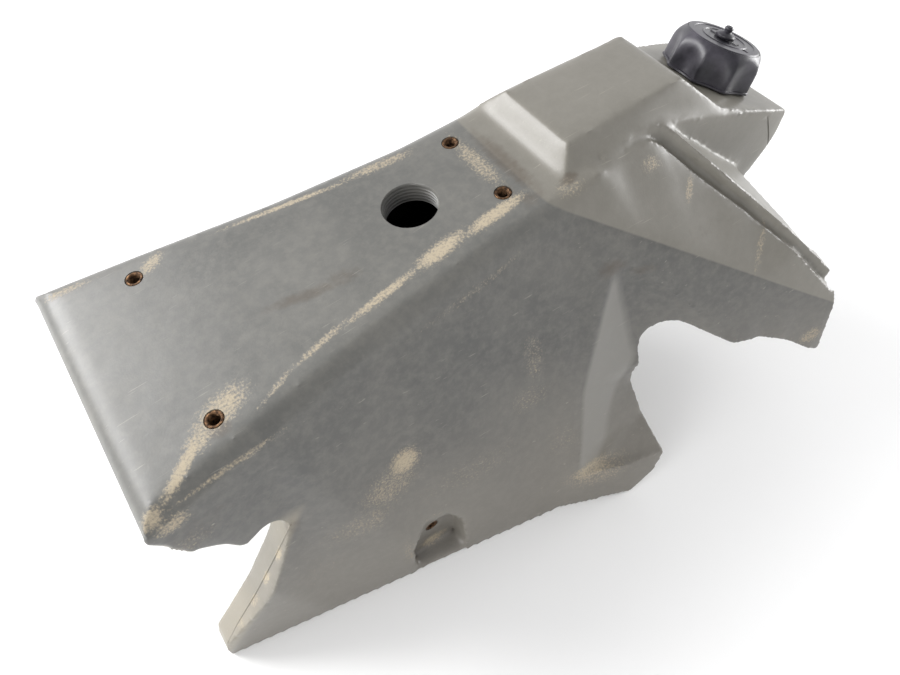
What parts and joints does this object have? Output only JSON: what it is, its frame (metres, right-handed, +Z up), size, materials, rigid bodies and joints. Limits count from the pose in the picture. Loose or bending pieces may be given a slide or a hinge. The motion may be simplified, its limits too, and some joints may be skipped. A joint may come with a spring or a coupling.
{
  "type": "motorcycle fuel tank",
  "caption": "Saddle-shaped moulded plastic fuel tank with side panniers, front wings, lobed screw cap with a ball vent, brass inserts and a lever fuel tap.",
  "frame": {"origin": "middle of the bounding box, on the plane of the panniers' flat undersides", "axes": "+X forward along the tank, towards the steering head; +Y to the rider's left; +Z up"},
  "size_m": [0.538, 0.3506, 0.3],
  "materials": {
    "polyethylene": "moulded grey polyethylene, scuffed and dusty",
    "brass": "tarnished",
    "black_plastic": "worn semi-gloss",
    "rubber": "matte",
    "steel": "zinc plated",
    "cast_alloy": "die cast, satin",
    "nylon": "natural nylon"
  },
  "bodies": {
    "tank": {"tank_shell": "polyethylene", "deck_insert_rear_right": "brass", "deck_insert_rear_left": "brass", "deck_insert_front_right": "brass", "deck_insert_front_left": "brass", "side_insert_right": "brass", "side_insert_left": "brass", "tap_gasket": "rubber", "tap_body": "cast_alloy", "tap_strainer": "nylon", "tap_packing": "rubber", "tap_wave_washer": "steel", "tap_lever_plate": "steel", "tap_insert_rear": "brass", "tap_insert_front": "brass", "tap_screw_rear": "steel", "tap_screw_front": "steel", "plate_screw_rear": "steel", "plate_screw_front": "steel"},
    "cap_seal": {"cap_gasket": "rubber"},
    "cap": {"cap_shell": "black_plastic", "cap_disc": "black_plastic", "vent_plug": "black_plastic", "vent_seat": "nylon"},
    "vent_ball": {"vent_ball": "steel"},
    "tap_lever": {"tap_lever": "cast_alloy"}
  },
  "joints": [
    {"name": "cap_rise", "type": "slide", "parent": "tank", "child": "cap_seal", "axis": [0.3397, 0, 0.9405], "range_m": [0, 0.0091]},
    {"name": "cap_turn", "type": "hinge", "parent": "cap_seal", "child": "cap", "pos_m": [0.227, 0, 0.25836], "axis": [0.3397, 0, 0.9405], "range_deg": [0, 540]},
    {"name": "vent_ball_lift", "type": "slide", "parent": "cap", "child": "vent_ball", "axis": [0.3397, 0, 0.9405], "range_m": [0, 0.001]},
    {"name": "tap_lever_turn", "type": "hinge", "parent": "tank", "child": "tap_lever", "pos_m": [-0.037, 0.072, 0.042], "axis": [0, -1, 0], "range_deg": [-90, 90]}
  ],
  "couplings": [
    {"joint": "cap_rise", "follows": "cap_turn", "m_per_rad": 0.00095493}
  ]
}
